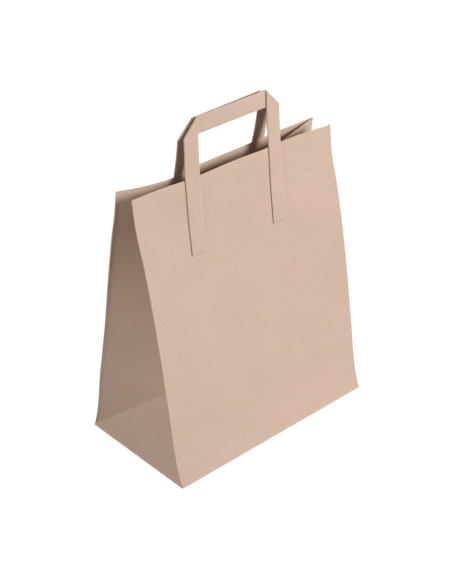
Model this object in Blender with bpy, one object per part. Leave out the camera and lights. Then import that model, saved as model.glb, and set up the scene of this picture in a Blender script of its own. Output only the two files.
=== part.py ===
"""A kraft paper carrier bag that stands open: a gusseted block-bottom bag and two folded tape handles.

Metres, +Z up. X runs along the wide panels, the front panel faces -Y, and the origin is under the middle
of the base.
The bag is one folded sheet. Its sections follow the paper up the panels, so each row keeps the paper's own
lengths: the lower corners of each gusset fold along 45 degree creases that meet half a depth above the base,
and from there the middle crease runs up between the panels to the mouth.
"""

import math

import bmesh
import bpy
import numpy as np

# Sheet
PANEL_WIDTH = 0.250
BASE_DEPTH = 0.140
PANEL_HEIGHT = 0.292
RIM_HALF_GAP = 0.0127
PAPER = 0.00025

# Folds
FOLD_RADIUS = 0.0008
CREASE_RADIUS = 0.0004
BASE_FOLD = 0.0005
FOLD_START = 0.012
# How far a gusset stays clear of the panel that it folds against, near its edge and further in
ARM_CLEARANCE = 0.001
ARM_SPREAD = 0.001
# Where the left crease ends at the rim, as a share of the way from the front panel to the back one
LEFT_CREASE_BACK = 0.8
# The left gusset lies along the pushed-in rim, and drops only near its crease
LEFT_DROP, RIGHT_DROP = 2, 1

# Base
BASE_PLIES = 4
FLAP_OVERLAP = 0.012
FLAP_MARGIN = 0.002
SEAM_LAP = 0.018

# How far the side edges have leaned in, as shares of the height and of the whole lean
LEAN = ((0, 0), (0.07, 0.105), (0.28, 0.285), (0.54, 0.505), (0.78, 0.765), (0.91, 0.94), (1, 1))
# How far the middle of each wide panel is drawn in behind its side edges, at shares of the height
BELLY = ((0, 0), (0.25, 0.005), (0.5, 0.0105), (0.7, 0.0122), (0.85, 0.007), (0.94, 0.0035), (1, 0))
# How far each panel's rim is pushed in, at shares of the half width; it fades out below RIM_FADE
FRONT_RIM = (
    (-1, 0), (-0.8, 0.0013), (-0.45, -0.0006), (0, 0.0021), (0.32, 0.0019), (0.47, 0.0036), (0.7, 0.0037),
    (1, 0),
)
BACK_RIM = (
    (-1, 0.0012), (-0.83, 0.0086), (-0.56, 0.0135), (-0.25, 0.0078), (0.2, 0.0046), (0.63, 0.001), (1, 0),
)
RIM_FADE = 0.68

# Handles
TAPE_WIDTH = 0.017
TAPE_THICKNESS = 0.0012
HANDLE_WIDTH = 0.123
FRONT_HANDLE_RISE = 0.0560
BACK_HANDLE_RISE = 0.0545
LEFT_LEG_GLUED = 0.0765
RIGHT_LEG_GLUED = 0.080
HANDLE_SEAT = 0.0003
TAPE_SLIT = 0.0002
TAPE_TURN = 0.0008
FRONT_HANDLE_SHIFT = -0.0035
BACK_HANDLE_SHIFT = -0.0055
FRONT_HANDLE_LEANS = (0.0016, 0.0038)
BACK_HANDLE_LEANS = (0.0080, 0.0092)
LEG_CURVE = 0.7

# Rows and points of the mesh
LOWER_ROWS = 3
MIDDLE_ROWS = 6
GLUED_ROWS = 6
LEG_ROWS = 4
ARC_STEPS = 3
SPAN_STEPS = 3
CORNER_SHARES = (0.15, 0.4, 0.7)
ARM_SHARES = (0.2, 0.45, 0.72)
LEAST_ROW = 0.002
SEAM_STEP = 0.0003
LEAN_STEPS = 400
SHARP_ANGLE = math.radians(25)
LEAST_MITRE = 0.3
TINY = 1e-9

KRAFT = (0.60, 0.43, 0.32, 1.0)
KRAFT_ROUGHNESS = 0.85

FRONT, BACK = -1, 1
HALF_WIDTH = PANEL_WIDTH / 2
HALF_DEPTH = BASE_DEPTH / 2
FOLD_X = HALF_WIDTH - FOLD_RADIUS
FLOOR = BASE_PLIES * PAPER
LEG_END = PANEL_HEIGHT - max(LEFT_LEG_GLUED, RIGHT_LEG_GLUED)
CREASE_HALF = 1.2 * CREASE_RADIUS


def smooth(points, at):
    """The smooth curve through hand-set points, with the slope at each taken from its neighbours."""
    xs, ys = np.array(points, float).T
    slopes = np.gradient(ys, xs)
    i = int(np.clip(np.searchsorted(xs, at) - 1, 0, len(xs) - 2))
    span = xs[i + 1] - xs[i]
    t = (np.clip(at, xs[0], xs[-1]) - xs[i]) / span
    start = (1 + 2 * t) * (1 - t) ** 2 * ys[i] + t * (1 - t) ** 2 * span * slopes[i]
    end = t * t * (3 - 2 * t) * ys[i + 1] - t * t * (1 - t) * span * slopes[i + 1]
    return float(start + end)


def mix(a, b, share):
    return a + (b - a) * share


def edge_depth(s):
    """Half the depth between the side edges of the two wide panels, at s up the paper."""
    return mix(HALF_DEPTH, RIM_HALF_GAP, smooth(LEAN, s / PANEL_HEIGHT))


def height_table():
    """Heights that the leaning edges reach, step by step, so that the paper keeps its length."""
    steps = np.linspace(0, PANEL_HEIGHT, LEAN_STEPS)
    depths = np.array([edge_depth(s) for s in steps])
    rises = np.sqrt(np.maximum(np.diff(steps) ** 2 - np.diff(depths) ** 2, 0))
    return steps, np.concatenate([[0], np.cumsum(rises)])


EDGE_STEPS, EDGE_HEIGHTS = height_table()


def edge_height(s):
    return float(np.interp(s, EDGE_STEPS, EDGE_HEIGHTS))


def panel_y(side, x, s):
    """Outer face of the front or back panel."""
    across = x / HALF_WIDTH
    up = s / PANEL_HEIGHT
    fade = np.clip((up - RIM_FADE) / (1 - RIM_FADE), 0, 1)
    rim = smooth(FRONT_RIM if side == FRONT else BACK_RIM, across) * fade * fade * (3 - 2 * fade)
    belly = smooth(BELLY, up) * (1 - across * across)
    return side * (edge_depth(s) - rim - belly)


def meeting_point(near, near_reach, far, far_reach):
    """The inner of the two points in a side view that lie the given reaches from two points."""
    run, rise = far[0] - near[0], far[1] - near[1]
    apart = math.hypot(run, rise)
    along = (near_reach**2 - far_reach**2 + apart**2) / (2 * apart)
    off = math.sqrt(max(near_reach**2 - along**2, 0))
    return (
        near[0] + (run * along - rise * off) / apart,
        near[1] + (rise * along + run * off) / apart,
    )


def crease_line():
    """Lowest and highest point (x, z) of a gusset's middle crease, from the lengths of its paper."""
    low_arm = math.sqrt(HALF_DEPTH**2 - edge_depth(HALF_DEPTH) ** 2)
    top_arm = math.sqrt(HALF_DEPTH**2 - RIM_HALF_GAP**2)
    base_edge = (HALF_WIDTH, 0)
    apex = meeting_point(base_edge, HALF_DEPTH, (HALF_WIDTH, edge_height(HALF_DEPTH)), low_arm)
    rim_corner = (HALF_WIDTH, edge_height(PANEL_HEIGHT))
    top = meeting_point(apex, PANEL_HEIGHT - HALF_DEPTH, rim_corner, top_arm)
    return apex, top


APEX, CREASE_TOP = crease_line()


def crease_point(end, side, s):
    """One of the two edges of the gusset's inner fold as (x, y, z), on the given end and side of the bag."""
    if s < HALF_DEPTH:
        share = s / HALF_DEPTH
        x, z = mix(HALF_WIDTH, APEX[0], share), APEX[1] * share
        return end * x, side * max(HALF_DEPTH - s, CREASE_HALF), z
    share = (s - HALF_DEPTH) / (PANEL_HEIGHT - HALF_DEPTH)
    x, z = mix(APEX[0], CREASE_TOP[0], share), mix(APEX[1], CREASE_TOP[1], share)
    back_share = 0.5 if end > 0 else 0.5 + (LEFT_CREASE_BACK - 0.5) * share**4
    middle = mix(panel_y(FRONT, end * x, s), panel_y(BACK, end * x, s), back_share)
    return end * x, middle + side * CREASE_HALF, z


def stations(side):
    """Places across a wide panel, with one at each edge of the handle's legs."""
    legs = leg_edges(side)
    outer_left, inner_left, inner_right, outer_right = legs
    left = [mix(-FOLD_X, outer_left, share) for share in CORNER_SHARES]
    right = [mix(FOLD_X, outer_right, share) for share in CORNER_SHARES]
    between = np.linspace(inner_left, inner_right, SPAN_STEPS + 1)[1:-1]
    places = [-FOLD_X, FOLD_X, *left, *right, *legs, *between]
    if side == BACK:
        places += [FOLD_X - SEAM_LAP, FOLD_X - SEAM_LAP + SEAM_STEP]
    return sorted(float(x) for x in places)


def leg_edges(side):
    middle = FRONT_HANDLE_SHIFT if side == FRONT else BACK_HANDLE_SHIFT
    half = HANDLE_WIDTH / 2
    return middle - half, middle - half + TAPE_WIDTH, middle + half - TAPE_WIDTH, middle + half


def panel_points(side, s, lap):
    """One row across a wide panel. The back panel is thicker where its long glued seam laps."""
    points = []
    for x in stations(side):
        lapped = lap if side == BACK and x > FOLD_X - SEAM_LAP + SEAM_STEP / 2 else 0
        points.append((x, panel_y(side, x, s) + side * lapped, edge_height(s)))
    return points


def fillet(before, corner, turn_to, radius):
    """Three points that round a crease, in plan."""
    before, corner, turn_to = map(np.array, (before, corner, turn_to))
    inward = (before - corner) / np.linalg.norm(before - corner)
    outward = (turn_to - corner) / np.linalg.norm(turn_to - corner)
    half_turn = (math.pi - math.acos(np.clip(inward @ outward, -1, 1))) / 2
    reach = radius * math.tan(half_turn)
    middle = (inward + outward) / max(np.linalg.norm(inward + outward), TINY)
    return (
        corner + inward * reach,
        corner + middle * radius * (1 / math.cos(half_turn) - 1),
        corner + outward * reach,
    )


def quarter(end, side, s):
    """One row from a wide panel's edge, round the edge fold and along half a gusset to its inner fold."""
    crease = crease_point(end, side, s)
    top = edge_height(s)
    # In plan, measured outwards from the middle of the bag and towards this quarter's own panel.
    centre = np.array([FOLD_X, side * panel_y(side, end * FOLD_X, s) - FOLD_RADIUS])
    goal = np.array([end * crease[0], side * crease[1]])
    drop = LEFT_DROP if end < 0 and s > HALF_DEPTH else RIGHT_DROP
    arm = []
    for share in ARM_SHARES:
        x, y = mix(centre, goal, share)
        if s > HALF_DEPTH:
            clearance = ARM_CLEARANCE + ARM_SPREAD * share
            y = min(y, side * panel_y(side, end * x, s) - clearance)
        arm.append((x, y, mix(top, crease[2], share**drop)))
    to_arm = np.array(arm[0][:2]) - centre
    away = math.acos(np.clip(FOLD_RADIUS / np.linalg.norm(to_arm), -1, 1))
    last = math.atan2(to_arm[1], to_arm[0]) + away
    plan = []
    for step in range(1, ARC_STEPS + 1):
        angle = mix(math.pi / 2, last, step / ARC_STEPS)
        x, y = centre + FOLD_RADIUS * np.array([math.cos(angle), math.sin(angle)])
        plan.append((x, y, top))
    plan += arm
    for x, y in fillet(arm[-1][:2], goal, goal - (0, 1), CREASE_RADIUS):
        plan.append((x, y, crease[2]))
    return [(end * x, side * y, z) for x, y, z in plan]


def base_quarter(end, side, inset, z):
    """The same points laid along the bottom edge, where the gusset starts."""
    centre = np.array([FOLD_X, HALF_DEPTH - FOLD_RADIUS])
    radius = FOLD_RADIUS - inset
    plan = []
    for step in range(1, ARC_STEPS + 1):
        angle = mix(math.pi / 2, 0, step / ARC_STEPS)
        plan.append(centre + radius * np.array([math.cos(angle), math.sin(angle)]))
    count = len(ARM_SHARES) + 3
    for step in range(1, count + 1):
        plan.append(plan[ARC_STEPS - 1] - (0, step * FOLD_START / (2 * count)))
    return [(end * x, side * y, z) for x, y in plan]


def ring(front, right_front, right_back, back, left_back, left_front):
    """Joins the six stretches of a row into one loop, anticlockwise from above."""
    return np.array(
        [*front, *right_front, *right_back[::-1], *back[::-1], *left_back, *left_front[::-1]]
    )


def row(s, lap=0):
    quarters = [quarter(end, side, s) for end, side in ((1, FRONT), (1, BACK), (-1, BACK), (-1, FRONT))]
    return ring(panel_points(FRONT, s, 0), *quarters[:2], panel_points(BACK, s, lap), *quarters[2:])


def base_row(inset, z):
    quarters = [
        base_quarter(end, side, inset, z) for end, side in ((1, FRONT), (1, BACK), (-1, BACK), (-1, FRONT))
    ]
    front = [(x, -HALF_DEPTH + inset, z) for x in stations(FRONT)]
    back = [(x, HALF_DEPTH - inset, z) for x in stations(BACK)]
    return ring(front, *quarters[:2], back, *quarters[2:])


def inside_of(points):
    """The inner face of a row: each point moved in by the paper's thickness, with mitred corners."""
    plan = points[:, :2]
    ahead = np.roll(plan, -1, axis=0) - plan
    ahead /= np.linalg.norm(ahead, axis=1)[:, None]
    left = np.stack([-ahead[:, 1], ahead[:, 0]], axis=1)
    middle = left + np.roll(left, 1, axis=0)
    middle /= np.linalg.norm(middle, axis=1)[:, None]
    reach = PAPER / np.maximum((middle * left).sum(axis=1), LEAST_MITRE)
    moved = points.copy()
    moved[:, :2] += middle * reach[:, None]
    return moved


def row_heights():
    lower = np.linspace(FOLD_START, HALF_DEPTH, LOWER_ROWS + 1)
    middle = np.linspace(HALF_DEPTH, LEG_END, MIDDLE_ROWS + 1)[1:]
    glued = glued_rows()[1:]
    return [*lower, *middle, *glued]


def glued_rows():
    return np.linspace(LEG_END, PANEL_HEIGHT, GLUED_ROWS + 1)


def bridge(bm, lower, upper):
    """Faces between two rows of vertices."""
    count = len(lower)
    for i in range(count):
        j = (i + 1) % count
        bm.faces.new((lower[i], lower[j], upper[j], upper[i]))


def add_base(bm, bottom):
    """The underside of the block bottom: a front flap glued over a back flap, over two folded ends.

    The front flap and a narrow border all round lie at z = 0, and each layer under it is one paper
    thickness higher.
    """
    front_count, back_count = len(stations(FRONT)), len(stations(BACK))
    side_count = 2 * (ARC_STEPS + len(ARM_SHARES) + 3)
    front = bottom[:front_count]
    right = bottom[front_count - 1 : front_count + side_count + 1]
    back = bottom[front_count + side_count : front_count + side_count + back_count]
    left = [*bottom[front_count + side_count + back_count - 1 :], bottom[0]]

    x, y = HALF_WIDTH - FLAP_MARGIN, HALF_DEPTH - FLAP_MARGIN
    tip = HALF_WIDTH - HALF_DEPTH
    free = tip - FLAP_OVERLAP
    back_level, end_level = PAPER, 2 * PAPER

    def point(px, py, z):
        return bm.verts.new((px, py, z))

    corners = {(ex, sy): point(ex * x, sy * y, 0) for ex in (-1, 1) for sy in (FRONT, BACK)}
    tips = {ex: point(ex * tip, 0, 0) for ex in (-1, 1)}
    frees = {ex: point(ex * free, FLAP_OVERLAP, 0) for ex in (-1, 1)}
    edge = (corners[1, FRONT], tips[1], frees[1], frees[-1], tips[-1], corners[-1, FRONT])
    bm.faces.new((*front, *edge))
    bm.faces.new((*right, corners[1, BACK], corners[1, FRONT]))
    bm.faces.new((*back, corners[-1, BACK], corners[1, BACK]))
    bm.faces.new((*left, corners[-1, FRONT], corners[-1, BACK]))

    back_corners = {ex: point(ex * x, y, back_level) for ex in (-1, 1)}
    back_tips = {ex: point(ex * tip, 0, back_level) for ex in (-1, 1)}
    back_frees = {ex: point(ex * free, FLAP_OVERLAP, back_level) for ex in (-1, 1)}
    bm.faces.new(
        (back_corners[1], back_corners[-1], back_tips[-1], back_frees[-1], back_frees[1], back_tips[1])
    )
    bm.faces.new((corners[1, BACK], corners[-1, BACK], back_corners[-1], back_corners[1]))
    bm.faces.new((frees[-1], frees[1], back_frees[1], back_frees[-1]))
    for ex in (-1, 1):
        end_front = point(ex * x, -y, end_level)
        end_back = point(ex * x, y, end_level)
        end_tip = point(ex * tip, 0, end_level)
        bm.faces.new((end_front, end_back, end_tip))
        bm.faces.new((corners[ex, FRONT], corners[ex, BACK], back_corners[ex], end_back, end_front))
        bm.faces.new((corners[ex, FRONT], end_front, end_tip, back_tips[ex], tips[ex]))
        bm.faces.new((back_corners[ex], back_tips[ex], end_tip, end_back))
        bm.faces.new((tips[ex], back_tips[ex], back_frees[ex], frees[ex]))


def finish(name, bm, material):
    bmesh.ops.triangulate(bm, faces=bm.faces[:])
    bmesh.ops.recalc_face_normals(bm, faces=bm.faces[:])
    mesh = bpy.data.meshes.new(name)
    bm.to_mesh(mesh)
    bm.free()
    mesh.materials.append(material)
    mesh.shade_smooth()
    mesh.set_sharp_from_angle(angle=SHARP_ANGLE)
    obj = bpy.data.objects.new(name, mesh)
    bpy.context.scene.collection.objects.link(obj)
    return obj


def bag_body(material):
    """The folded sheet: outer rows, rim, inner rows and a flat floor of layered flaps."""
    outer_rows = [base_row(BASE_FOLD, 0), base_row(0, BASE_FOLD)]
    outer_rows += [row(s, PAPER) for s in row_heights()]
    inner_rows = [row(s) for s in row_heights()]
    first = base_row(0, BASE_FOLD)
    rise = (FLOOR - BASE_FOLD) / (edge_height(FOLD_START) - BASE_FOLD)
    floor_row = mix(first, inner_rows[0], rise)
    floor_row[:, 2] = FLOOR
    inner_rows = [inside_of(points) for points in (floor_row, *inner_rows)]

    bm = bmesh.new()
    outer = [[bm.verts.new(point) for point in points] for points in outer_rows]
    inner = [[bm.verts.new(point) for point in points] for points in inner_rows]
    for lower, upper in zip(outer, outer[1:]):
        bridge(bm, lower, upper)
    bridge(bm, outer[-1], inner[-1])
    for lower, upper in zip(inner, inner[1:]):
        bridge(bm, upper, lower)
    bm.faces.new(inner[0])
    add_base(bm, outer[0])
    return finish("bag_body", bm, material)


def tape_point(side, x, v, depth):
    """A point of a handle's tape: x across the bag, v up the paper, depth out from the panel's face."""
    outer_left, inner_left, inner_right, outer_right = leg_edges(side)
    on_panel = panel_y(side, x, min(v, PANEL_HEIGHT))
    out = side * (HANDLE_SEAT + depth)
    if v <= PANEL_HEIGHT:
        return x, on_panel + out, edge_height(v)
    rise, full_rise = v - PANEL_HEIGHT, handle_rise(side)
    leg_rise = full_rise - TAPE_WIDTH
    left, right = (outer_left + inner_left) / 2, (inner_right + outer_right) / 2
    share = (x - left) / (right - left)
    on_bar = mix(panel_y(side, left, PANEL_HEIGHT), panel_y(side, right, PANEL_HEIGHT), share)
    lean = mix(*(FRONT_HANDLE_LEANS if side == FRONT else BACK_HANDLE_LEANS), share)
    # The legs curve inwards up to the bar, and the bar's own band is flat.
    leaned = leg_lean(min(rise, leg_rise) / full_rise)
    if rise > leg_rise:
        leaned = mix(leaned, 1, (rise - leg_rise) / TAPE_WIDTH)
    y = mix(on_panel, on_bar, min(rise / leg_rise, 1))
    return x, y + out - side * lean * leaned, edge_height(PANEL_HEIGHT) + rise


def leg_lean(share):
    """The share of a handle's lean reached at a share of its rise: the legs lean most near the rim."""
    return share + LEG_CURVE * share * (1 - share)


def handle_rise(side):
    return FRONT_HANDLE_RISE if side == FRONT else BACK_HANDLE_RISE


def handle(name, side, material):
    """A U of flat tape, turned by a 45 degree fold at each corner, with its legs outside its bar."""
    outer_left, inner_left, inner_right, outer_right = leg_edges(side)
    top = PANEL_HEIGHT + handle_rise(side)
    low = top - TAPE_WIDTH
    turn = TAPE_TURN * math.sqrt(2)
    free_rows = np.linspace(PANEL_HEIGHT, low, LEG_ROWS + 1)[1:-1]
    leg_in, leg_out = 0, TAPE_THICKNESS
    bar_out, bar_in = -TAPE_SLIT, -TAPE_SLIT - TAPE_THICKNESS
    bm = bmesh.new()

    def vertex(x, v, depth):
        return bm.verts.new(tape_point(side, x, v, depth))

    ends = {}
    for outer, inner, glued in (
        (outer_left, inner_left, LEFT_LEG_GLUED),
        (outer_right, inner_right, RIGHT_LEG_GLUED),
    ):
        towards = 1 if inner > outer else -1
        leg_end = PANEL_HEIGHT - glued
        on_sheet = [v for v in glued_rows() if v > leg_end + LEAST_ROW]
        leg_rows = [leg_end, *on_sheet, *free_rows]
        # Both faces of the leg, from its glued end to the row under the bar.
        section = ((outer, leg_out), (inner, leg_out), (inner, leg_in), (outer, leg_in))
        rows = [[vertex(x, v, depth) for x, depth in section] for v in leg_rows]
        bm.faces.new(rows[0])
        for lower, upper in zip(rows, rows[1:]):
            bridge(bm, lower, upper)
        out_outer, out_inner, in_inner, in_outer = rows[-1]
        # The corner: the leg's outer face runs up to the fold, and its inner face stops at the turn.
        fold_low_out = vertex(outer, low, leg_out)
        fold_top_out = vertex(inner, top, leg_out)
        fold_low_in = vertex(outer, low, leg_in)
        turn_low_in = vertex(outer + towards * turn, low, leg_in)
        turn_top_in = vertex(inner, top - turn, leg_in)
        bm.faces.new((out_outer, out_inner, fold_top_out, fold_low_out))
        bm.faces.new((in_outer, in_inner, turn_top_in, turn_low_in, fold_low_in))
        bm.faces.new((out_outer, fold_low_out, fold_low_in, in_outer))
        # The bar's end behind it.
        turn_low_bar = vertex(outer + towards * turn, low, bar_out)
        turn_top_bar = vertex(inner, top - turn, bar_out)
        fold_top_bar = vertex(inner, top, bar_out)
        fold_low_bar = vertex(outer, low, bar_in)
        fold_top_back = vertex(inner, top, bar_in)
        turn_low_back = vertex(outer + towards * turn, low, bar_in)
        bm.faces.new((turn_low_in, turn_top_in, turn_top_bar, turn_low_bar))
        bm.faces.new((out_inner, in_inner, turn_top_in, fold_top_out))
        bm.faces.new((turn_top_in, turn_top_bar, fold_top_bar, fold_top_out))
        bm.faces.new((fold_low_out, fold_top_out, fold_top_bar, fold_low_in))
        bm.faces.new((fold_low_in, fold_top_bar, fold_top_back, fold_low_bar))
        bm.faces.new((fold_low_in, fold_low_bar, turn_low_back, turn_low_bar))
        bm.faces.new((fold_low_in, turn_low_bar, turn_low_in))
        bm.faces.new((fold_low_bar, turn_low_back, fold_top_back))
        ends[towards] = [turn_low_bar, turn_top_bar, fold_top_bar, fold_top_back, turn_low_back]
    # The bar between the two corners, with five points at each end.
    bridge(bm, ends[1], ends[-1])
    return finish(name, bm, material)


def kraft(name):
    material = bpy.data.materials.new(name)
    material.use_nodes = True
    shader = material.node_tree.nodes["Principled BSDF"]
    shader.inputs["Base Color"].default_value = KRAFT
    shader.inputs["Roughness"].default_value = KRAFT_ROUGHNESS
    shader.inputs["Metallic"].default_value = 0.0
    return material


def main():
    for obj in list(bpy.data.objects):
        bpy.data.objects.remove(obj, do_unlink=True)
    bag_body(kraft("kraft_sheet"))
    handle("front_handle", FRONT, kraft("front_kraft_tape"))
    handle("back_handle", BACK, kraft("back_kraft_tape"))


main()
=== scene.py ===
"""Looks for a kraft paper carrier bag: the folded sheet, two tape handles, their paper and a plain studio."""

import math

import bpy
import numpy as np
from bpy.props import FloatProperty, FloatVectorProperty, PointerProperty
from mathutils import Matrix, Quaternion, Vector


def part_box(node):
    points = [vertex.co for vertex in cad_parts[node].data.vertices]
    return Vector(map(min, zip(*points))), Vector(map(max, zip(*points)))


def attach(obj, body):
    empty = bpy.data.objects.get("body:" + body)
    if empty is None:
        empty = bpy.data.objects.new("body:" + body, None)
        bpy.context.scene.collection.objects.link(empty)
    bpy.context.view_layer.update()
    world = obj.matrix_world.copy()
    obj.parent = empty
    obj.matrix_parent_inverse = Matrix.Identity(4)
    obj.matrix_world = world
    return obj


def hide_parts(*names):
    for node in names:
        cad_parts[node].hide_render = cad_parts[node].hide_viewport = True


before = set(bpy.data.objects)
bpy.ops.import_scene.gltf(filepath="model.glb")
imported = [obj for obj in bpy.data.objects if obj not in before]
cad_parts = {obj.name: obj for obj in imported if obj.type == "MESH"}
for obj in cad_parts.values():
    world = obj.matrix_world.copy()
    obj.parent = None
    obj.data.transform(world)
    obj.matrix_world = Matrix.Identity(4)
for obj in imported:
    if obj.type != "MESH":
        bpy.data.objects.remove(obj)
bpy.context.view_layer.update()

bl_info = {
    "name": "Kraft carrier bag",
    "version": (1, 0, 0),
    "blender": (4, 5, 0),
    "location": "3D View > Sidebar > Carrier bag",
    "description": "Builds a kraft paper carrier bag with folded tape handles, and a studio round it",
    "category": "Add Mesh",
}

MM = 0.001
BODY_LOW, BODY_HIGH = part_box("bag_body")
FRONT, BACK = -1, 1

# How far the side edges have leaned in, as shares of the height and of the whole lean
LEAN = ((0, 0), (0.07, 0.105), (0.28, 0.285), (0.54, 0.505), (0.78, 0.765), (0.91, 0.94), (1, 1))
# How far the middle of each wide panel is drawn in behind its side edges, at shares of the height
BELLY = ((0, 0), (0.25, 0.005), (0.5, 0.0105), (0.7, 0.0122), (0.85, 0.007), (0.94, 0.0035), (1, 0))
# How far each panel's rim is pushed in, at shares of the half width; it fades out below RIM_FADE
FRONT_RIM = (
    (-1, 0), (-0.8, 0.0013), (-0.45, -0.0006), (0, 0.0021), (0.32, 0.0019), (0.47, 0.0036), (0.7, 0.0037),
    (1, 0),
)
BACK_RIM = (
    (-1, 0.0012), (-0.83, 0.0086), (-0.56, 0.0135), (-0.25, 0.0078), (0.2, 0.0046), (0.63, 0.001), (1, 0),
)
RIM_FADE = 0.68
# How much less than that the stiff paper is drawn in just below the rim
STIFF_RIM = ((0, 0), (0.72, 0), (0.8, 0.0007), (0.85, 0.0019), (0.9, 0.0033), (0.95, 0.0026), (1, 0))
# How far forward of the lean the left back edge stands, at shares of the height; it fades out to the right
BACK_EDGE = (
    (0, 0), (0.12, 0), (0.23, 0.0004), (0.36, 0.0024), (0.49, 0.004), (0.62, 0.0033), (0.75, 0.002),
    (0.88, -0.0008), (1, 0),
)
LEAN_STEPS = 400

# Rounding of the folds
EDGE_RADIUS = 0.8 * MM
BASE_RADIUS = 0.5 * MM
CORNER_START = 6 * MM
# How far a gusset stays clear of the panel that it folds against, near its edge and further in
ARM_CLEARANCE = 1 * MM
ARM_SPREAD = 1 * MM
# Where the left crease ends at the rim, as a share of the way from the front panel to the back one
LEFT_CREASE_BACK = 0.8
# It stays near the middle low down: the power of the height by which it goes back
LEFT_CREASE_POWER = 4
# The left gusset lies along the pushed-in rim, and drops only near its crease
LEFT_DROP, RIGHT_DROP = 2, 1

# The lap of the long glued seam, on the back panel
SEAM_WIDTH = 18 * MM
SEAM_STEP = 0.5 * MM

# Density of the sheet's mesh
PANEL_STEP = 3.2 * MM
GUSSET_STEP = 2.6 * MM
ROW_STEP = 2.6 * MM
FINEST_STEP = 0.35 * MM
LEAST_STEPS = 6
# How much of their spacing the outermost rows or columns may give up
CLOSEST = 0.92
# Points of the fine line along half a gusset, and round the fold at its edge
ARM_POINTS, EDGE_POINTS = 30, 9
SAME_POINT = 1e-6
SCORE_THRESHOLD = 1e-5

# Layers of the base, in paper thicknesses above the surface it stands on
FRONT_FLAP_LAYER, BACK_FLAP_LAYER, END_FLAP_LAYER = 0.5, 1.9, 3.3
FLAP_OVERLAP = 12 * MM
# Where a flap's flat part starts, in from the edge, and how far it takes to settle on its layer
FLAP_START = 2 * MM
FLAP_SETTLE = 4 * MM
FLAP_STEPS = 14
CURL_STEPS = 3
# How near to the edge of the base a point counts as on it, and the least half width of a flap's tip
ON_EDGE = 0.02 * MM
LEAST_HALF = 0.01 * MM
# Height of the lowest paper above the surface it stands on, in paper thicknesses
OFF_FLOOR = 0.02

# Places of the handles, left end first
FRONT_SHIFT, BACK_SHIFT = -3.5 * MM, -5.5 * MM
FRONT_RISE, BACK_RISE = 56 * MM, 54.5 * MM
FRONT_LEANS, BACK_LEANS = (1.6 * MM, 3.8 * MM), (8.0 * MM, 9.2 * MM)
LEGS_GLUED = (76.5 * MM, 80 * MM)
LEG_CURVE = 0.7
# How far up the bar its lean may go on growing, in tape widths
PAST_BAR = 1.1
GLUE_LINE = 0.12 * MM
LAYER_GAP = 0.3 * MM
TAPE_STEP = 3 * MM
FOLD_CUTS = 8
WIDTH_CUTS = (0.2, 0.4, 0.6, 0.8)
# Each tape end is pressed thinner over this length, down to this share
PRESSED_END = 2.6 * MM
PRESSED_SHARE = 0.22
END_CUTS = (0.25, 0.5, 0.75, 1)
# The groove between the plies and the soft edges, as shares of the tape's thickness
GROOVE_HALF = 1 / 6
GROOVE_INSET = 1 / 14
GROOVE_DEPTH = 1 / 5
SOFT_EDGE = 1 / 7
SOFT_EDGE_ANGLE = 60
SIDE_FACING = 0.9

# Folds sharper than this many degrees stay crisp
SHEET_CRISP, TAPE_CRISP = 32, 35

# How wide each rubbed band of the paper is, and how strongly it is rubbed; the underside isn't
EDGE_WEAR = (1.2 * MM, 0.8)
BASE_WEAR = (1.1 * MM, 1)
RIM_WEAR = (1 * MM, 0.2)
TAPE_WEAR = (0.5 * MM, 0.2)
CORNER_WEAR = (0.9 * MM, 0.4)
UNDERSIDE = 0.3 * MM

# Kraft paper's patterns, in features per metre of the sheet
PATTERNS = {
    "cloud": {"scale": 24, "detail": 3},
    "drift": {"scale": 9, "detail": 2},
    "fibre": {"scale": 260, "stretch": (5, 1, 1), "detail": 4, "roughness": 0.65},
    "cross": {"scale": 420, "stretch": (1, 3, 1), "detail": 3, "roughness": 0.6},
    "mottle": {"scale": 240, "stretch": (1.7, 1, 1), "detail": 2, "roughness": 0.6},
    "pulp": {"scale": 1500, "detail": 2, "roughness": 0.7},
    "fleck": {"scale": 700, "stretch": (2.5, 1, 1), "detail": 1},
    "shive": {"scale": 320, "stretch": (1, 4, 1), "detail": 1},
    "rub": {"scale": 900, "detail": 2},
}
# The values of a pattern between which it fades in, and how strongly it covers the paper
DRIFT_RANGE, FLECK_RANGE, SHIVE_RANGE, RUB_RANGE = (0.15, 0.85), (0.69, 0.76), (0.74, 0.8), (0.3, 0.65)
FLECK_COVER, SHIVE_COVER, RUB_COVER = 0.28, 0.35, 0.55
# How far each pattern lightens and darkens the paper, and how far it raises it
MIDDLE_TONE = 0.93
TONES = {"cloud": 0.1, "fibre": 0.16, "cross": 0.09, "pulp": 0.16, "mottle": 0.13}
HEIGHTS = {"fibre": 0.5, "cross": 0.35, "pulp": 0.35, "cloud": 0.3}
BUMP_STRENGTH, BUMP_DISTANCE = 0.35, 0.12 * MM
PAPER_ROUGHNESS, ROUGHNESS_SPREAD = 0.86, 0.12
PAPER_SPECULAR = 0.22


def mix(a, b, share):
    return a + (b - a) * share


def smooth_step(share):
    share = np.clip(share, 0, 1)
    return share * share * (3 - 2 * share)


def smooth(points, at):
    """The smooth curve through given points, with the slope at each taken from its neighbours."""
    xs, ys = np.array(points, float).T
    slopes = np.gradient(ys, xs)
    at = np.clip(at, xs[0], xs[-1])
    i = np.clip(np.searchsorted(xs, at) - 1, 0, len(xs) - 2)
    span = xs[i + 1] - xs[i]
    t = (at - xs[i]) / span
    start = (1 + 2 * t) * (1 - t) ** 2 * ys[i] + t * (1 - t) ** 2 * span * slopes[i]
    return start + t * t * (3 - 2 * t) * ys[i + 1] - t * t * (1 - t) * span * slopes[i + 1]


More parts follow.
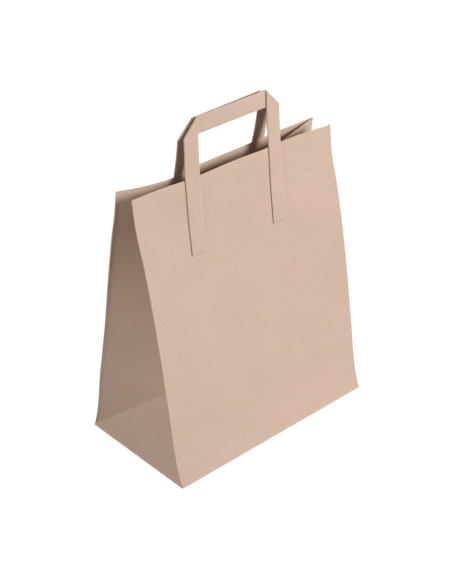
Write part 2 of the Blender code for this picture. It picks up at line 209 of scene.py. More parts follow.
def meeting_point(near, near_reach, far, far_reach):
    """The inner of the two points in a side view that lie the given reaches from two points."""
    run, rise = far[0] - near[0], far[1] - near[1]
    apart = math.hypot(run, rise)
    along = (near_reach**2 - far_reach**2 + apart**2) / (2 * apart)
    off = math.sqrt(max(near_reach**2 - along**2, 0))
    return near[0] + (run * along - rise * off) / apart, near[1] + (rise * along + run * off) / apart


def eased(start, end, step):
    """Places from start to end a step apart, and much closer together near both ends."""
    count = max(LEAST_STEPS, round((end - start) / step))
    share = np.linspace(0, 1, count + 1)
    close = min(CLOSEST, 1 - FINEST_STEP / step)
    return start + (end - start) * (share - close * np.sin(2 * math.pi * share) / (2 * math.pi))


class BagForm:
    """Where each point of the flat sheet lies on the standing bag."""

    def __init__(self, bag):
        self.half_width = bag.panel_width / 2
        self.half_depth = bag.base_depth / 2
        self.height = bag.sheet_height
        self.half_gap = bag.rim_half_gap
        self.paper = bag.paper
        self.fold_x = self.half_width - EDGE_RADIUS
        self.steps = np.linspace(0, self.height, LEAN_STEPS)
        rises = np.diff(self.steps) ** 2 - np.diff(self.edge_depth(self.steps)) ** 2
        self.heights = np.concatenate([[0], np.cumsum(np.sqrt(np.maximum(rises, 0)))])
        low_arm = math.sqrt(self.half_depth**2 - self.edge_depth(self.half_depth) ** 2)
        top_arm = math.sqrt(self.half_depth**2 - self.half_gap**2)
        beside = (self.half_width, self.edge_height(self.half_depth))
        self.apex = meeting_point((self.half_width, 0), self.half_depth, beside, low_arm)
        rim_corner = (self.half_width, self.edge_height(self.height))
        self.crease_top = meeting_point(self.apex, self.height - self.half_depth, rim_corner, top_arm)

    def edge_depth(self, s):
        """Half the depth between the side edges of the two wide panels, at s up the paper."""
        return mix(self.half_depth, self.half_gap, smooth(LEAN, s / self.height))

    def edge_height(self, s):
        return np.interp(s, self.steps, self.heights)

    def panel_y(self, side, x, s):
        """Face of the front or back panel."""
        across = x / self.half_width
        up = s / self.height
        fade = smooth_step((up - RIM_FADE) / (1 - RIM_FADE))
        rim = smooth(FRONT_RIM if side == FRONT else BACK_RIM, across) * fade
        belly = smooth(BELLY, up) - smooth(STIFF_RIM, up)
        forward = smooth(BACK_EDGE, up) * (1 - across) / 2 if side == BACK else 0
        return side * (self.edge_depth(s) - forward - rim - belly * (1 - across * across))

    def panel(self, side, x, s):
        """A row of points across a wide panel."""
        y = self.panel_y(side, x, s)
        if side == BACK:
            lap = np.clip((x - self.fold_x + SEAM_WIDTH) / SEAM_STEP, 0, 1)
            y = y + lap * self.paper * min(s / CORNER_START, 1)
        return np.stack([x, y, np.full(len(x), self.edge_height(s))], axis=1)

    def crease(self, end, side, s):
        """The point where a gusset turns, at s up the paper: outwards, towards this side, and up."""
        if s < self.half_depth:
            share = s / self.half_depth
            x, z = mix(self.half_width, self.apex[0], share), self.apex[1] * share
            return np.array([x, self.half_depth - s, z])
        share = (s - self.half_depth) / (self.height - self.half_depth)
        x, z = mix(self.apex[0], self.crease_top[0], share), mix(self.apex[1], self.crease_top[1], share)
        back_share = 0.5 if end > 0 else 0.5 + (LEFT_CREASE_BACK - 0.5) * share**LEFT_CREASE_POWER
        middle = mix(self.panel_y(FRONT, end * x, s), self.panel_y(BACK, end * x, s), back_share)
        return np.array([x, side * float(middle), z])

    def arm(self, end, side, s):
        """A fine line from a panel's edge round the edge fold and along the gusset to its turn."""
        goal = self.crease(end, side, s)
        top = float(self.edge_height(s))
        edge_y = side * float(self.panel_y(side, end * self.fold_x, s))
        centre = np.array([self.fold_x, edge_y - EDGE_RADIUS])
        share = np.linspace(0, 1, ARM_POINTS + 1)[1:, None]
        line = mix(centre, goal[:2], share)
        tight = smooth_step((s - self.half_depth) / self.half_depth)
        beside = side * self.panel_y(side, end * line[:, 0], s)
        clear = ARM_CLEARANCE + ARM_SPREAD * share[:, 0]
        if s > self.half_depth:
            line[:, 1] = mix(line[:, 1], np.minimum(line[:, 1], beside - clear), tight)
        to_arm = line[0] - centre
        away = math.acos(np.clip(EDGE_RADIUS / np.linalg.norm(to_arm), -1, 1))
        last = math.atan2(to_arm[1], to_arm[0]) + away
        angles = np.linspace(math.pi / 2, last, EDGE_POINTS)
        arc = centre + EDGE_RADIUS * np.stack([np.cos(angles), np.sin(angles)], axis=1)
        plan = np.concatenate([arc, line])
        drop = mix(RIGHT_DROP, LEFT_DROP, float(tight)) if end < 0 else RIGHT_DROP
        heights = np.concatenate([np.full(len(arc), top), mix(top, goal[2], share[:, 0] ** drop)])
        return np.column_stack([plan, heights])

    def gusset(self, end, side, places, s):
        """Points of one half of a gusset, at places measured from the panel's edge."""
        if s < CORNER_START:
            share = s / CORNER_START
            low = np.column_stack([
                np.full(len(places), self.half_width), self.half_depth - places, np.zeros(len(places)),
            ])
            high = self.gusset_row(end, side, places, CORNER_START)
            points = mix(low, high, share)
        else:
            points = self.gusset_row(end, side, places, s)
        return points * (end, side, 1)

    def gusset_row(self, end, side, places, s):
        """The same above the base's rounding, with outwards and towards the panel counted as positive."""
        line = self.arm(end, side, s)
        along = np.concatenate([[0], np.cumsum(np.linalg.norm(np.diff(line, axis=0), axis=1))])
        reach = min(s, self.half_depth)
        at = np.clip(places / reach, 0, 1) * along[-1]
        points = np.stack([np.interp(at, along, line[:, k]) for k in range(3)], axis=1)
        beyond = places > reach
        points[beyond, 1] -= places[beyond] - reach
        return points


def flat_columns(form):
    """Places of the flat sheet's columns across a wide panel, and across half a gusset from its edge."""
    panel = eased(-form.fold_x, form.fold_x, PANEL_STEP)
    half = eased(0, form.half_depth, GUSSET_STEP)
    return panel, half


def sheet_row(form, panel, half, s):
    """One row of the sheet, once round the bag."""
    return np.concatenate([
        form.panel(FRONT, panel, s),
        form.gusset(1, FRONT, half, s)[1:],
        form.gusset(1, BACK, half, s)[::-1][1:],
        form.panel(BACK, panel, s)[::-1][1:],
        form.gusset(-1, BACK, half, s)[1:],
        form.gusset(-1, FRONT, half, s)[::-1][1:],
    ])


def flat_places(panel, half):
    """How far along the flat sheet each column lies, once round the bag from the front left edge."""
    wide = panel - panel[0]
    parts, start = [wide], wide[-1]
    for places in (half, half[-1] - half[::-1], wide, half, half[-1] - half[::-1]):
        parts.append(start + places[1:])
        start += places[-1]
    return np.concatenate(parts)


def start_fresh():
    if bpy.context.mode != "OBJECT":
        bpy.ops.object.mode_set(mode="OBJECT")
    bpy.ops.object.select_all(action="DESELECT")


def named(name):
    """The object that an operator has just added, under its piece's name."""
    piece = bpy.context.active_object
    piece.name = piece.data.name = name
    return piece


def points_of(piece):
    points = np.empty(len(piece.data.vertices) * 3, np.float32)
    piece.data.vertices.foreach_get("co", points)
    return points.reshape(-1, 3).astype(float)


def set_points(piece, points):
    piece.data.vertices.foreach_set("co", np.ascontiguousarray(points, np.float32).ravel())
    piece.data.update()


def apply_modifier(piece, kind, **settings):
    modifier = piece.modifiers.new(kind.title(), kind)
    for name, value in settings.items():
        setattr(modifier, name, value)
    bpy.context.view_layer.objects.active = piece
    bpy.ops.object.modifier_apply(modifier=modifier.name)


def edit(piece):
    bpy.context.view_layer.objects.active = piece
    piece.select_set(True)
    bpy.ops.object.mode_set(mode="EDIT")
    bpy.ops.mesh.select_all(action="DESELECT")


def edit_selected(piece):
    """Edit mode with the edges that are already selected."""
    bpy.context.view_layer.objects.active = piece
    piece.select_set(True)
    bpy.ops.object.mode_set(mode="EDIT")
    bpy.ops.mesh.select_mode(type="EDGE")


def select_faces(piece, wanted):
    """Selects the faces whose middle and normal pass a test, and goes back to edit mode."""
    bpy.ops.object.mode_set(mode="OBJECT")
    for polygon in piece.data.polygons:
        polygon.select = bool(wanted(polygon.center, polygon.normal))
    bpy.ops.object.mode_set(mode="EDIT")


def set_wear(piece, values):
    attribute = piece.data.attributes.new("wear", "FLOAT", "POINT")
    attribute.data.foreach_set("value", np.asarray(np.clip(values, 0, 1), np.float32))


def set_uv(piece, places):
    """Gives the piece a UV map with each of its points at its place on the flat paper, in metres."""
    layer = piece.data.uv_layers.active or piece.data.uv_layers.new(name="UVMap")
    corners = np.empty(len(piece.data.loops), np.int32)
    piece.data.loops.foreach_get("vertex_index", corners)
    layer.uv.foreach_set("vector", np.ascontiguousarray(places[corners], np.float32).ravel())


def band(distance, width, strength):
    """A soft band of the given strength where the distance is small."""
    return np.exp(-((distance / width) ** 2)) * strength


def finish_piece(piece, node, material, angle):
    piece.data.materials.clear()
    piece.data.materials.append(material)
    start_fresh()
    piece.select_set(True)
    bpy.context.view_layer.objects.active = piece
    bpy.ops.object.shade_smooth_by_angle(angle=math.radians(angle))
    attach(piece, "root")
    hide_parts(node)


class Value:
    """A number that varies over a surface: an output socket that takes Python's arithmetic."""

    def __init__(self, paint, socket):
        self.paint = paint
        self.socket = socket

    def maths(self, operation, first, second):
        made = self.paint.node("ShaderNodeMath", {"operation": operation}, {0: first, 1: second})
        return made.value()

    def __add__(self, other):
        return self.maths("ADD", self, other)

    __radd__ = __add__

    def __sub__(self, other):
        return self.maths("SUBTRACT", self, other)

    def __rsub__(self, other):
        return self.maths("SUBTRACT", other, self)

    def __mul__(self, other):
        return self.maths("MULTIPLY", self, other)

    __rmul__ = __mul__

    def between(self, low, high):
        """0 below low, 1 above high and smooth from one to the other."""
        sockets = {"Value": self, "From Min": low, "From Max": high}
        return self.paint.node("ShaderNodeMapRange", {"interpolation_type": "SMOOTHSTEP"}, sockets).value()


class Made:
    """A node that has just been added."""

    def __init__(self, paint, node):
        self.paint = paint
        self.made = node

    def value(self, name=0):
        return Value(self.paint, self.made.outputs[name])


class Nodes:
    """A node tree, and the ways to add to it."""

    def __init__(self, tree):
        self.tree = tree

    def node(self, kind, settings=None, sockets=None):
        node = self.tree.nodes.new(kind)
        for name, value in (settings or {}).items():
            setattr(node, name, value)
        for name, value in (sockets or {}).items():
            self.connect(value, node.inputs[name])
        return Made(self, node)

    def connect(self, value, socket):
        if isinstance(value, Value):
            self.tree.links.new(value.socket, socket)
        else:
            socket.default_value = value

    def seen(self):
        """1 where the camera sees the surface, directly or in a reflection or through another piece."""
        path = self.node("ShaderNodeLightPath")
        seen = path.value("Is Camera Ray")
        for ray in ("Is Glossy Ray", "Is Transmission Ray"):
            seen = seen.maths("MAXIMUM", seen, path.value(ray))
        return seen


class Paint(Nodes):
    """The node tree of one material."""

    def __init__(self, name):
        self.material = bpy.data.materials.new(name)
        self.material.use_nodes = True
        super().__init__(self.material.node_tree)
        self.shader = self.tree.nodes["Principled BSDF"]

    def noise(self, place, scale, stretch=(1, 1, 1), detail=3, roughness=0.5):
        """Noise whose scale is in features per metre."""
        mapped = self.node("ShaderNodeMapping", {}, {"Vector": place, "Scale": stretch}).value()
        sockets = {"Vector": mapped, "Scale": scale, "Detail": detail, "Roughness": roughness}
        return self.node("ShaderNodeTexNoise", {}, sockets).value()

    def colour_mix(self, share, first, second, blend="MIX"):
        settings = {"data_type": "RGBA", "blend_type": blend}
        return self.node("ShaderNodeMix", settings, {"Factor": share, 6: first, 7: second}).value(2)

    def set(self, **sockets):
        for name, value in sockets.items():
            self.connect(value, self.shader.inputs[name.replace("_", " ")])


def opaque(colour, factor=1.0):
    return (colour[0] * factor, colour[1] * factor, colour[2] * factor, 1.0)


def grey(level):
    return opaque((1, 1, 1), level)


def kraft_paper(name, paper):
    """Uncoated brown kraft: cloudy pulp, long fibres, flecks, and pale worn fibres on the folds."""
    paint = Paint(name)
    place = paint.node("ShaderNodeTexCoord").value("UV")
    pattern = {name: paint.noise(place, **settings) for name, settings in PATTERNS.items()}

    drift = pattern["drift"].between(*DRIFT_RANGE)
    warm = paint.colour_mix(drift, opaque(paper.kraft_pink), opaque(paper.kraft_tan))
    tone = MIDDLE_TONE
    for name, amount in TONES.items():
        tone = tone + (pattern[name] - 0.5) * amount
    shade = paint.node("ShaderNodeCombineColor", {}, {"Red": tone, "Green": tone, "Blue": tone}).value()
    base = paint.colour_mix(1.0, warm, shade, "MULTIPLY")
    worn = paint.node("ShaderNodeAttribute", {"attribute_name": "wear"}).value("Fac")
    for cover, colour in (
        (pattern["fleck"].between(*FLECK_RANGE) * FLECK_COVER, paper.fleck),
        (pattern["shive"].between(*SHIVE_RANGE) * SHIVE_COVER, paper.worn),
        (worn * pattern["rub"].between(*RUB_RANGE) * RUB_COVER, paper.worn),
    ):
        base = paint.colour_mix(cover, base, opaque(colour))
    raised = {"Strength": BUMP_STRENGTH, "Distance": BUMP_DISTANCE}
    raised["Height"] = sum(pattern[name] * amount for name, amount in HEIGHTS.items())
    bump = paint.node("ShaderNodeBump", {}, raised).value()
    roughness = PAPER_ROUGHNESS + (pattern["fibre"] - 0.5) * ROUGHNESS_SPREAD
    paint.set(Base_Color=base, Roughness=roughness, Normal=bump, Specular_IOR_Level=PAPER_SPECULAR)
    return paint.material


class BagSettings(bpy.types.PropertyGroup):
    """Sizes of the folded sheet, in metres, and the colours of its paper."""

    panel_width: FloatProperty(
        name="Panel width", description="Width of the front and back panels",
        default=BODY_HIGH.x - BODY_LOW.x, unit="LENGTH",
    )
    base_depth: FloatProperty(
        name="Base depth", description="Depth of the block bottom",
        default=BODY_HIGH.y - BODY_LOW.y, unit="LENGTH",
    )
    sheet_height: FloatProperty(
        name="Sheet height", description="Height of a panel, measured up the paper",
        default=0.292, unit="LENGTH",
    )
    rim_half_gap: FloatProperty(
        name="Half mouth", description="Half the gap between the side edges at the rim",
        default=0.0127, unit="LENGTH",
    )
    paper: FloatProperty(
        name="Paper", description="Thickness of the paper", default=0.25 * MM, unit="LENGTH", precision=5
    )
    kraft_pink: FloatVectorProperty(
        name="Kraft, pink", description="The pinker of the paper's two drifting tones",
        subtype="COLOR", size=3, default=(0.662, 0.478, 0.392),
    )
    kraft_tan: FloatVectorProperty(
        name="Kraft, tan", description="The yellower of the paper's two drifting tones",
        subtype="COLOR", size=3, default=(0.652, 0.481, 0.364),
    )
    fleck: FloatVectorProperty(
        name="Flecks", description="Dark bits of bark in the pulp",
        subtype="COLOR", size=3, default=(0.32, 0.19, 0.11),
    )
    worn: FloatVectorProperty(
        name="Worn fibres", description="Pale fibres that show where a fold has rubbed",
        subtype="COLOR", size=3, default=(0.78, 0.62, 0.5),
    )


class HandleSettings(bpy.types.PropertyGroup):
    """Sizes of the folded tape, in metres."""

    tape_width: FloatProperty(
        name="Tape width", description="Width of the tape", default=0.017, unit="LENGTH"
    )
    tape_thickness: FloatProperty(
        name="Tape thickness", description="Thickness of the folded plies",
        default=1.2 * MM, unit="LENGTH", precision=5,
    )
    handle_width: FloatProperty(
        name="Handle width", description="Across both legs of a handle", default=0.123, unit="LENGTH"
    )


class StudioSettings(bpy.types.PropertyGroup):
    """The light round the bag, in watts for its lamps."""

    key: FloatProperty(
        name="Key light", description="The large light low on the right of the front", default=64.0
    )
    side: FloatProperty(name="Side light", description="The wide, weak light on the left", default=14.5)
    top: FloatProperty(name="Top light", description="The wide, weak light overhead", default=2.0)
    back: FloatProperty(name="Back light", description="The wide light behind the bag", default=26.0)
    fill: FloatProperty(name="Fill", description="Strength of the even light from all round", default=0.12)
    floor_white: FloatProperty(name="Floor", description="How white the floor looks by itself", default=0.95)
    floor_shade: FloatProperty(
        name="Floor shade", description="How much of its shadows the floor shows", default=0.16
    )
    floor_bounce: FloatProperty(
        name="Bounce", description="How much light the floor throws back", default=0.3
    )


class BAG_OT_sheet(bpy.types.Operator):
    """Cuts the flat sheet, folds it into the standing bag and glues it"""

    bl_idname = "carrier_bag.sheet"
    bl_label = "Folded sheet"

    def execute(self, context):
        bag = context.scene.carrier_bag
        form = BagForm(bag)
        panel, half = flat_columns(form)
        across = flat_places(panel, half)
        upper = np.linspace(half[-1], form.height, round((form.height - half[-1]) / ROW_STEP) + 1)
        up = np.concatenate([half, upper[1:]])

        start_fresh()
        bpy.ops.mesh.primitive_grid_add(x_subdivisions=len(across) - 1, y_subdivisions=len(up) - 1, size=1)
        sheet = named("bag_sheet")
        self.lay_flat(sheet, across, up)
        self.crease_corners(sheet, 2 * form.fold_x, half[-1])
        flat = points_of(sheet)
        set_uv(sheet, flat[:, :2])
        self.fold(sheet, form, panel, half, across, up, flat)
        self.add_base(sheet, form)
        set_wear(sheet, sheet_wear(points_of(sheet), form))
        apply_modifier(
            sheet, "SOLIDIFY", thickness=form.paper, offset=-1, use_even_offset=True, use_quality_normals=True
        )
        finish_piece(sheet, "bag_body", kraft_paper("kraft_sheet", bag), SHEET_CRISP)
        return {"FINISHED"}

    def lay_flat(self, sheet, across, up):
        """Moves the rows and columns of a plain grid to their places on the flat sheet."""
        points = points_of(sheet)
        columns = np.rint((points[:, 0] + 0.5) * (len(across) - 1)).astype(int)
        rows = np.rint((points[:, 1] + 0.5) * (len(up) - 1)).astype(int)
        set_points(sheet, np.stack([across[columns], up[rows], np.zeros(len(points))], axis=1))

    def crease_corners(self, sheet, wide, deep):
        """Scores the four 45 degree creases at the foot of the gussets while the sheet is flat."""
        edit(sheet)
        right, left = wide, 2 * wide + 2 * deep
        for start, lean in ((right, 1), (right + 2 * deep, -1), (left, 1), (left + 2 * deep, -1)):
            low, high = min(start, start + lean * deep), max(start, start + lean * deep)
            select_faces(sheet, lambda middle, normal: low < middle.x < high and middle.y < deep)
            bpy.ops.mesh.bisect(plane_co=(start, 0, 0), plane_no=(1, -lean, 0), threshold=SCORE_THRESHOLD)
        bpy.ops.object.mode_set(mode="OBJECT")

    def fold(self, sheet, form, panel, half, across, up, flat):
        """Moves each point of the flat sheet to its place on the standing bag."""
        columns = np.abs(flat[:, 0][:, None] - across[None, :]).argmin(axis=1)
        rows = np.abs(flat[:, 1][:, None] - up[None, :]).argmin(axis=1)
        folded = np.array([sheet_row(form, panel, half, s) for s in up])
        folded[:, :, 2] += BASE_RADIUS * (1 - smooth_step(up / CORNER_START))[:, None]
        set_points(sheet, folded[rows, columns])
        edit(sheet)
        bpy.ops.mesh.select_all(action="SELECT")
        bpy.ops.mesh.remove_doubles(threshold=SAME_POINT)
        bpy.ops.object.mode_set(mode="OBJECT")

    def add_base(self, sheet, form):
        """Draws the sheet's lower edges in under the bag as the flaps of the block bottom."""
        reach = form.half_depth
        self.flap(sheet, form, 1, FRONT, reach + FLAP_OVERLAP, FRONT_FLAP_LAYER)
        self.flap(sheet, form, 1, BACK, reach, BACK_FLAP_LAYER)
        for end in (-1, 1):
            self.flap(sheet, form, 0, end, reach, END_FLAP_LAYER)

    def flap(self, sheet, form, axis, side, reach, layer):
        """One flap: the edge on one side of the base, drawn in step by step and narrowed at 45 degrees."""
        edge_at = (form.half_width, form.half_depth)[axis]
        half_edge = (form.half_width, form.half_depth)[1 - axis]
        start_fresh()
        mesh = sheet.data
        for part in (mesh.vertices, mesh.edges, mesh.polygons):
            part.foreach_set("select", np.zeros(len(part), bool))
        points = points_of(sheet)
        on_edge = np.abs(points[:, axis] - side * edge_at) < ON_EDGE
        on_edge &= np.abs(points[:, 2] - BASE_RADIUS) < SAME_POINT
        for edge in mesh.edges:
            edge.select = bool(on_edge[edge.vertices[0]] and on_edge[edge.vertices[1]])
        edit_selected(sheet)
        before = 0.0
        for inset in self.flap_insets(reach):
            bpy.ops.mesh.extrude_edges_move(TRANSFORM_OT_translate={"value": (0, 0, -form.paper)})
            bpy.ops.object.mode_set(mode="OBJECT")
            points = points_of(sheet)
            chosen = np.array([v.select for v in mesh.vertices])
            moved = points[chosen]
            moved[:, 1 - axis] *= max(half_edge - inset, LEAST_HALF) / max(half_edge - before, LEAST_HALF)
            moved[:, axis] = side * (edge_at - inset)
            turned = min(inset / BASE_RADIUS, 1)
            curl = BASE_RADIUS * (1 - math.sqrt(1 - (1 - turned) ** 2))
            settled = smooth_step((inset - BASE_RADIUS) / FLAP_SETTLE)
            moved[:, 2] = curl + form.paper * (layer * settled + OFF_FLOOR)
            points[chosen] = moved
            set_points(sheet, points)
            bpy.ops.object.mode_set(mode="EDIT")
            before = inset
        bpy.ops.object.mode_set(mode="OBJECT")

    def flap_insets(self, reach):
        """How far in each step of a flap lies: round the lower fold first, and then flat."""
        curl = BASE_RADIUS * (1 - np.cos(np.linspace(0, math.pi / 2, CURL_STEPS + 1)[1:]))
        return [*curl, *np.linspace(FLAP_START, reach, FLAP_STEPS)]


def sheet_wear(points, form):
    """How rubbed the sheet is at each point: on the outer folds, round the base and at the rim."""
    x, y, z = points.T
    sides = band(form.half_width - np.abs(x), *EDGE_WEAR)
    return sides + band(z, *BASE_WEAR) * (z > UNDERSIDE) + band(BODY_HIGH.z - z, *RIM_WEAR)


class TapeForm:
    """Where each point of the flat tape lies on a folded handle."""

    def __init__(self, form, handle, side):
        self.form, self.side = form, side
        self.width, self.thick = handle.tape_width, handle.tape_thickness
        self.shift, self.rise, self.leans = (
            (FRONT_SHIFT, FRONT_RISE, FRONT_LEANS) if side == FRONT else (BACK_SHIFT, BACK_RISE, BACK_LEANS)
        )
        self.outer = handle.handle_width / 2
        self.low = form.height + self.rise - self.width
        self.radius = (self.thick + LAYER_GAP) / 2
        self.turn = self.radius * (math.pi / math.sqrt(2) + math.sqrt(2)) / 2
        self.leg_ends = [form.height - glued for glued in LEGS_GLUED]
        self.lengths = [self.fold_at(k) + self.outer + math.pi * self.radius / math.sqrt(2) for k in (0, 1)]
        self.length = sum(self.lengths)

    def fold_at(self, k):
        """Distance from a leg's end to where its outer edge starts to fold."""
        return self.low - self.turn - self.leg_ends[k]

    def place(self, flat):
        """Bends the flat tape, laid with its length along y, round both corners and onto the bag."""
        points = flat.copy()
        left = flat[:, 1] <= self.lengths[0]
        for k, chosen, end in ((0, left, -1), (1, ~left, 1)):
            across, thick = flat[chosen, 0], flat[chosen, 2]
            along = flat[chosen, 1] if k == 0 else self.length - flat[chosen, 1]
            points[chosen] = self.bend(across, along, thick, end, k)
        return points

    def bend(self, across, along, thick, end, k):
        """Turns half of the tape over at its corner, along a line at 45 degrees."""
        r = self.radius
        w = along - self.fold_at(k)
        off = (w - across) / math.sqrt(2)
        beside = (w + across) / math.sqrt(2)
        turn = np.clip(off / r, 0, math.pi)
        folded = np.where(off > math.pi * r, math.pi * r - off, (r + thick) * np.sin(turn))
        folded = np.where(off < 0, off, folded)
        depth = -r + (r + thick) * np.cos(turn)
        x = end * (self.outer - (beside - folded) / math.sqrt(2)) + self.shift
        v = self.low - self.turn + (beside + folded) / math.sqrt(2)
        return self.on_bag(x, v, depth + self.thick / 2)

    def on_bag(self, x, v, depth):
        """The place on the bag of a point x across, v up the paper and depth out from the panel."""
        form, side = self.form, self.side
        out = side * (GLUE_LINE + depth)
        on_panel = form.panel_y(side, x, np.minimum(v, form.height))
        rise = np.maximum(v - form.height, 0)
        leg_rise = self.rise - self.width
        left, right = self.shift - self.outer + self.width / 2, self.shift + self.outer - self.width / 2
        share = (x - left) / (right - left)
        ends = [form.panel_y(side, at, form.height) for at in (left, right)]
        lean = mix(*self.leans, share)
        leaned = self.lean_share(np.minimum(rise, leg_rise) / self.rise)
        at_bar = np.clip((rise - leg_rise) / self.width, 0, PAST_BAR)
        leaned = mix(leaned, 1, at_bar)
        y = mix(on_panel, mix(*ends, share), np.minimum(rise / leg_rise, 1))
        z = form.edge_height(np.minimum(v, form.height)) + rise
        return np.stack([x, y + out - side * lean * leaned, z], axis=1)

    def lean_share(self, share):
        """How much of its lean a leg has at a share of the way up."""
        return share + LEG_CURVE * share * (1 - share)


class BAG_OT_handles(bpy.types.Operator):
    """Folds the two tape handles and glues their legs to the panels"""

    bl_idname = "carrier_bag.handles"
    bl_label = "Tape handles"

    def execute(self, context):
        bag, handle = context.scene.carrier_bag, context.scene.bag_handles
        form = BagForm(bag)
        for side, name in ((FRONT, "front_handle"), (BACK, "back_handle")):
            tape = TapeForm(form, handle, side)
            piece = self.flat_tape(tape, name + "_tape")
            self.cut_rows(piece, tape)
            flat = points_of(piece)
            # Each tape has a patch of the paper's pattern to itself, which goes on round its edges
            set_uv(piece, flat[:, :2] + (1 + side, 2) + flat[:, 2:] * (1, 0))
            set_wear(piece, tape_wear(flat, tape))
            set_points(piece, tape.place(pressed(flat, tape)))
            edit(piece)
            bpy.ops.mesh.select_all(action="SELECT")
            bpy.ops.mesh.normals_make_consistent(inside=False)
            bpy.ops.object.mode_set(mode="OBJECT")
            finish_piece(piece, name, kraft_paper(name + "_kraft", bag), TAPE_CRISP)
        return {"FINISHED"}

    def flat_tape(self, tape, name):
        """The folded plies as one flat strip, with soft edges and a groove where the plies meet."""
        start_fresh()
        middle = (tape.width / 2, tape.length / 2, 0)
        size = (tape.width, tape.length, tape.thick)
        bpy.ops.mesh.primitive_cube_add(size=1, location=middle, scale=size)
        bpy.ops.object.transform_apply(location=True, rotation=True, scale=True)
        piece = named(name)
        edit(piece)
        bpy.ops.mesh.select_mode(type="FACE")
        groove = tape.thick * GROOVE_HALF
        for level in (-groove, groove):
            bpy.ops.mesh.select_all(action="SELECT")
            bpy.ops.mesh.bisect(plane_co=(0, 0, level), plane_no=(0, 0, 1))
        for sign in (-1, 1):
            select_faces(piece, lambda at, normal: normal.x * sign > SIDE_FACING and abs(at.z) < groove)
            bpy.ops.mesh.inset(thickness=tape.thick * GROOVE_INSET)
            bpy.ops.transform.translate(value=(-sign * tape.thick * GROOVE_DEPTH, 0, 0))
        bpy.ops.object.mode_set(mode="OBJECT")
        apply_modifier(
            piece, "BEVEL", width=tape.thick * SOFT_EDGE, segments=2, limit_method="ANGLE",
            angle_limit=math.radians(SOFT_EDGE_ANGLE),
        )
        return piece

    def cut_rows(self, piece, tape):
        """Cuts the strip across at even steps, and along the slanting lines of both corner folds."""
        edit(piece)
        places = np.linspace(0, tape.length, round(tape.length / TAPE_STEP) + 1)[1:-1]
        ends = [PRESSED_END * share for share in END_CUTS]
        places = [*places, *ends, *(tape.length - at for at in ends), tape.lengths[0]]
        cuts = [((0, at, 0), (0, 1, 0)) for at in places]
        for at in np.linspace(0, math.pi * tape.radius * math.sqrt(2), FOLD_CUTS + 1):
            cuts.append(((0, tape.fold_at(0) + at, 0), (-1, 1, 0)))
            cuts.append(((0, tape.length - tape.fold_at(1) - at, 0), (1, 1, 0)))
        for share in WIDTH_CUTS:
            cuts.append(((tape.width * share, 0, 0), (1, 0, 0)))
        for place, normal in cuts:
            bpy.ops.mesh.select_all(action="SELECT")
            bpy.ops.mesh.bisect(plane_co=place, plane_no=normal, threshold=SAME_POINT)
        bpy.ops.object.mode_set(mode="OBJECT")


def pressed(flat, tape):
    """The flat tape with its two ends pressed thin on their glued side."""
    points = flat.copy()
    to_end = np.minimum(flat[:, 1], tape.length - flat[:, 1]) / PRESSED_END
    share = mix(PRESSED_SHARE, 1, smooth_step(to_end))
    points[:, 2] = (flat[:, 2] + tape.thick / 2) * share - tape.thick / 2
    return points


def tape_wear(flat, tape):
    """How rubbed the tape is at each point: along its long edges and on its two corner folds."""
    wear = band(np.minimum(flat[:, 0], tape.width - flat[:, 0]), *TAPE_WEAR)
    for k in (0, 1):
        along = flat[:, 1] if k == 0 else tape.length - flat[:, 1]
        off = (along - tape.fold_at(k) - flat[:, 0]) / math.sqrt(2)
        wear += band(off - tape.radius * math.pi / 2, *CORNER_WEAR)
    return wear


# Each lamp's place, as degrees to the right of the front, degrees up and metres away, and its width
KEY_LAMP = (26, 20, 2.6, 1)
SIDE_LAMP = (-88, 12, 1.7, 1.2)
TOP_LAMP = (-60, 70, 1.9, 1.2)
BACK_LAMP = (170, 14, 2.4, 1.2)
LAMP_AIM = Vector((0, 0, 0.15))
FLOOR_SIZE = 12
FLOOR_DROP = 0.2 * MM

CAMERA_PLACE = Vector((-0.6945, -0.7614, 0.7445))
CAMERA_AIM = Vector((-0.00424, 0, 0.14054))
CAMERA_LENS = 74.02
CAMERA_ROLL = math.radians(-0.33)


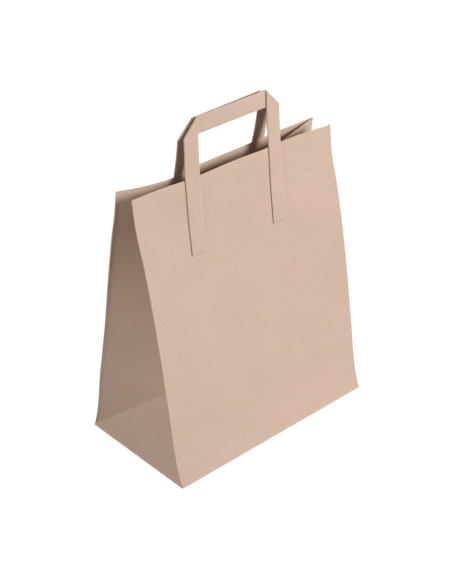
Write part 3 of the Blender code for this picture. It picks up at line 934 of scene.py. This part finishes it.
class BAG_OT_studio(bpy.types.Operator):
    """Adds the floor, the soft light and the camera"""

    bl_idname = "carrier_bag.studio"
    bl_label = "Studio"

    def execute(self, context):
        studio = context.scene.bag_studio
        self.add_floor(studio)
        self.add_world(context, studio)
        for name, place, power in (
            ("key", KEY_LAMP, studio.key), ("side", SIDE_LAMP, studio.side), ("top", TOP_LAMP, studio.top),
            ("back", BACK_LAMP, studio.back),
        ):
            self.add_lamp(context, name, place, power)
        self.add_camera(context)
        context.scene.view_settings.view_transform = "Standard"
        return {"FINISHED"}

    def add_floor(self, studio):
        """A floor that looks white with faint shadows, and throws back as little light as a grey one."""
        start_fresh()
        bpy.ops.mesh.primitive_plane_add(size=FLOOR_SIZE, location=(0, 0, -FLOOR_DROP))
        floor = named("floor")
        bpy.ops.object.transform_apply(location=True, rotation=True, scale=True)
        paint = Paint("floor")
        paint.set(Base_Color=grey(studio.floor_shade), Roughness=1.0, Specular_IOR_Level=0.0)
        paint.set(Emission_Color=grey(studio.floor_white), Emission_Strength=1.0)
        bounce = paint.node("ShaderNodeBsdfDiffuse", {}, {"Color": grey(studio.floor_bounce)})
        mixed = paint.node("ShaderNodeMixShader", {}, {0: paint.seen(), 1: bounce.value()})
        paint.tree.links.new(paint.shader.outputs["BSDF"], mixed.made.inputs[2])
        paint.connect(mixed.value(), paint.tree.nodes["Material Output"].inputs["Surface"])
        floor.data.materials.append(paint.material)

    def add_world(self, context, studio):
        """White where the camera sees it, and dim for all other rays."""
        world = bpy.data.worlds.new("studio")
        context.scene.world = world
        world.use_nodes = True
        nodes = Nodes(world.node_tree)
        nodes.tree.nodes["Background"].inputs["Color"].default_value = grey(studio.fill)
        backdrop = nodes.node("ShaderNodeBackground", {}, {"Color": grey(1.0)})
        mixed = nodes.node("ShaderNodeMixShader", {}, {0: nodes.seen(), 2: backdrop.value()})
        nodes.tree.links.new(nodes.tree.nodes["Background"].outputs["Background"], mixed.made.inputs[1])
        nodes.connect(mixed.value(), nodes.tree.nodes["World Output"].inputs["Surface"])

    def add_lamp(self, context, name, place, power):
        turn, lift = math.radians(place[0]), math.radians(place[1])
        away, width = place[2:]
        towards = Vector((math.sin(turn) * math.cos(lift), -math.cos(turn) * math.cos(lift), math.sin(lift)))
        light = bpy.data.lights.new(name, "AREA")
        light.shape = "SQUARE"
        light.size = width
        light.energy = power
        lamp = bpy.data.objects.new(name, light)
        lamp.location = LAMP_AIM + towards * away
        lamp.rotation_euler = towards.to_track_quat("Z", "Y").to_euler()
        context.scene.collection.objects.link(lamp)

    def add_camera(self, context):
        data = bpy.data.cameras.new("camera")
        data.lens = CAMERA_LENS
        data.dof.use_dof = False
        camera = bpy.data.objects.new("camera", data)
        camera.location = CAMERA_PLACE
        camera.rotation_mode = "QUATERNION"
        aimed = (CAMERA_AIM - CAMERA_PLACE).to_track_quat("-Z", "Y")
        camera.rotation_quaternion = aimed @ Quaternion((0, 0, 1), CAMERA_ROLL)
        context.scene.collection.objects.link(camera)
        context.scene.camera = camera


class BAG_PT_panel(bpy.types.Panel):
    """Lists the steps in the 3D view's sidebar"""

    bl_label = "Carrier bag"
    bl_idname = "BAG_PT_panel"
    bl_space_type = "VIEW_3D"
    bl_region_type = "UI"
    bl_category = "Carrier bag"

    def draw(self, context):
        for settings in (context.scene.carrier_bag, context.scene.bag_handles, context.scene.bag_studio):
            for name in settings.__annotations__:
                self.layout.prop(settings, name)
        for operator in (BAG_OT_sheet, BAG_OT_handles, BAG_OT_studio):
            self.layout.operator(operator.bl_idname)


CLASSES = (
    BagSettings, HandleSettings, StudioSettings, BAG_OT_sheet, BAG_OT_handles, BAG_OT_studio, BAG_PT_panel,
)


def register():
    for each in CLASSES:
        bpy.utils.register_class(each)
    bpy.types.Scene.carrier_bag = PointerProperty(type=BagSettings)
    bpy.types.Scene.bag_handles = PointerProperty(type=HandleSettings)
    bpy.types.Scene.bag_studio = PointerProperty(type=StudioSettings)


def unregister():
    del bpy.types.Scene.carrier_bag, bpy.types.Scene.bag_handles, bpy.types.Scene.bag_studio
    for each in reversed(CLASSES):
        bpy.utils.unregister_class(each)


def main():
    register()
    bpy.ops.carrier_bag.sheet()
    bpy.ops.carrier_bag.handles()
    bpy.ops.carrier_bag.studio()


if __name__ == "__main__":
    main()
